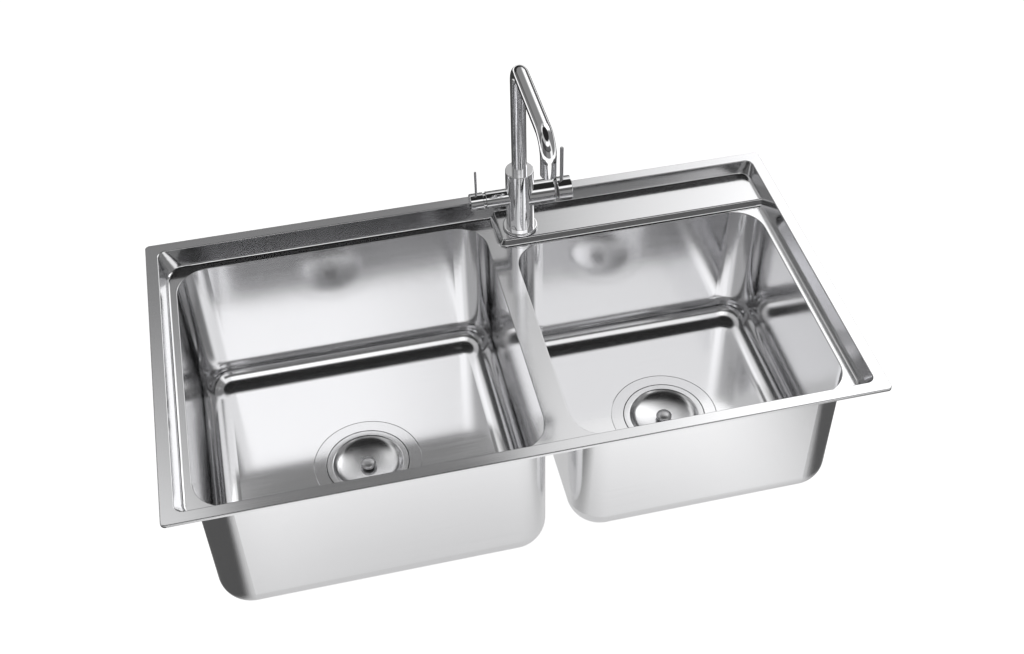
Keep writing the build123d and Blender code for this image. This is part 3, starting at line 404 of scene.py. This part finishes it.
# radius of each ring and its height above the foot
ring, height = foot_radius, 0.0
for next_ring, next_height in (
    (0.0088, 0.0), (0.0096, 0.0003), (0.0101, 0.0009), (0.0103, 0.0017), (0.0103, 0.0025),
    (0.0100, 0.0035), (0.0092, 0.0044), (0.0079, 0.0052), (0.0060, 0.0059), (0.0038, 0.0063),
    (0.0014, 0.0065),
):
    bpy.ops.mesh.extrude_region_move(TRANSFORM_OT_translate={"value": (0, 0, next_height - height)})
    bpy.ops.transform.resize(value=(next_ring / ring, next_ring / ring, 1))
    ring, height = next_ring, next_height
bpy.ops.mesh.edge_face_add()
bpy.ops.mesh.select_all(action="SELECT")
bpy.ops.mesh.normals_make_consistent(inside=False)
bpy.ops.object.mode_set(mode="OBJECT")
rounded = left_button.modifiers.new("rounded", "SUBSURF")
rounded.levels = 1
bpy.ops.object.modifier_apply(modifier="rounded")
bpy.ops.object.shade_smooth()
bpy.ops.object.transform_apply(location=True, rotation=True, scale=True)
left_button.data.materials.append(knob_chrome)
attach(left_button, "left_strainer")
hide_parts("left_strainer_knob")

right_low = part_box("right_strainer_knob")[0]
to_right = Vector(right_low) - Vector(knob_low)
for piece, node, slot in (
    (left_dish, "right_strainer_tray", "tray_steel"),
    (left_button, "right_strainer_knob", "knob_chrome"),
):
    bpy.ops.object.select_all(action="DESELECT")
    piece.select_set(True)
    bpy.context.view_layer.objects.active = piece
    bpy.ops.object.duplicate_move(TRANSFORM_OT_translate={"value": to_right})
    bpy.ops.object.transform_apply(location=True, rotation=True, scale=True)
    twin = bpy.context.object
    twin.name = piece.name.replace("left", "right")
    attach(twin, "right_strainer")
    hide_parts(node)


# Seals, pads, nuts and waste pipes: moulded rubber, foam and plastic, fitted under the sink. Each
# has a fine grain, soft clouds in its colour and an uneven shine.
def moulded(name, dark, light, roughness, grain, relief_depth, shine=0.5):
    """A moulded material: two colours that drift into each other, its roughness, the size of
    its grain in metres, how deep the grain is and how much it shines."""
    finish = bpy.data.materials.new(name)
    finish.use_nodes = True
    tree = finish.node_tree
    shader = tree.nodes["Principled BSDF"]
    shader.inputs["Specular IOR Level"].default_value = shine
    place = tree.nodes.new("ShaderNodeTexCoord")
    drift = tree.nodes.new("ShaderNodeTexNoise")
    drift.inputs["Scale"].default_value = 25.0
    drift.inputs["Detail"].default_value = 3.0
    tree.links.new(place.outputs["Object"], drift.inputs["Vector"])
    shade = tree.nodes.new("ShaderNodeMix")
    shade.data_type = "RGBA"
    shade.inputs["A"].default_value = (*dark, 1)
    shade.inputs["B"].default_value = (*light, 1)
    tree.links.new(drift.outputs[0], shade.inputs["Factor"])
    tree.links.new(shade.outputs["Result"], shader.inputs["Base Color"])
    specks = tree.nodes.new("ShaderNodeTexNoise")
    specks.inputs["Scale"].default_value = 1 / grain
    specks.inputs["Detail"].default_value = 2.0
    tree.links.new(place.outputs["Object"], specks.inputs["Vector"])
    rough = tree.nodes.new("ShaderNodeMapRange")
    rough.inputs["To Min"].default_value = roughness - 0.08
    rough.inputs["To Max"].default_value = min(1, roughness + 0.08)
    tree.links.new(specks.outputs[0], rough.inputs["Value"])
    tree.links.new(rough.outputs[0], shader.inputs["Roughness"])
    relief = tree.nodes.new("ShaderNodeBump")
    relief.inputs["Strength"].default_value = relief_depth
    relief.inputs["Distance"].default_value = 0.0003
    tree.links.new(specks.outputs[0], relief.inputs["Height"])
    tree.links.new(relief.outputs[0], shader.inputs["Normal"])
    return finish


gasket_rubber = moulded(
    "gasket_rubber", (0.015, 0.015, 0.016), (0.035, 0.035, 0.037), 0.55, 0.0012, 0.15
)
seal_foam = moulded("seal_foam", (0.74, 0.74, 0.75), (0.86, 0.86, 0.87), 0.90, 0.0008, 0.6, 0.2)
pad_rubber = moulded("pad_rubber", (0.07, 0.07, 0.072), (0.12, 0.12, 0.124), 0.75, 0.0040, 0.5, 0.3)
slip_plastic = moulded("slip_plastic", (0.60, 0.60, 0.58), (0.70, 0.70, 0.68), 0.45, 0.0010, 0.1)
nut_plastic = moulded("nut_plastic", (0.72, 0.72, 0.70), (0.80, 0.80, 0.78), 0.42, 0.0010, 0.12)
pipe_plastic = moulded("pipe_plastic", (0.76, 0.76, 0.74), (0.82, 0.82, 0.80), 0.32, 0.0020, 0.06)
for side in ("left", "right"):
    coat(side + "_flange_seal", gasket_rubber)
    coat(side + "_under_gasket", gasket_rubber)
    coat(side + "_tail_washer", gasket_rubber)
    coat(side + "_strainer_stopper", gasket_rubber)
    coat(side + "_slip_ring", slip_plastic)
    coat(side + "_locknut", nut_plastic)
    coat(side + "_coupling_nut", nut_plastic)
    coat(side + "_tailpiece", pipe_plastic)
    coat(side + "_deadening_pad", pad_rubber)
coat("rim_seal", seal_foam)


# ---------------------------------------------------------------- tap
# Bright chrome plating on the body, spout and levers, satin pins, and the fittings underneath
# in their own metals and plastics.
tap_chrome = polished("tap_chrome", (0.95, 0.95, 0.96), 0.025, 0.008)
collar_satin = polished("collar_satin", (0.96, 0.96, 0.97), 0.42, 0.01)
pin_satin = polished("pin_satin", (0.52, 0.52, 0.53), 0.22, 0.02)
brass_fitting = polished("brass_fitting", (0.62, 0.47, 0.22), 0.20, 0.04)
washer_steel = polished("washer_steel", (0.62, 0.62, 0.63), 0.24, 0.03)
valve_plastic = moulded("valve_plastic", (0.58, 0.58, 0.57), (0.68, 0.68, 0.67), 0.40, 0.0010, 0.1)
aerator_plastic = moulded(
    "aerator_plastic", (0.26, 0.26, 0.27), (0.34, 0.34, 0.35), 0.45, 0.0008, 0.1
)
for node in (
    "tap_base_ring", "tap_body", "spout_tube", "spout_gland", "filter_cap", "mixer_cap",
):
    coat(node, tap_chrome)
coat("mixer_dome_nut", collar_satin)
for node in ("filter_pin", "mixer_pin"):
    coat(node, pin_satin)
for node in ("tap_shank", "tap_shank_nut", "filter_valve", "filter_spindle"):
    coat(node, brass_fitting)
for node in ("mixer_pivot_pin", "mixer_stem"):
    coat(node, stem_steel)
for node in ("mixer_cartridge", "mixer_carrier"):
    coat(node, valve_plastic)
for node in ("tap_base_seal", "tap_rubber_washer", "spout_orings"):
    coat(node, gasket_rubber)
coat("tap_steel_washer", washer_steel)
coat("spout_aerator", aerator_plastic)
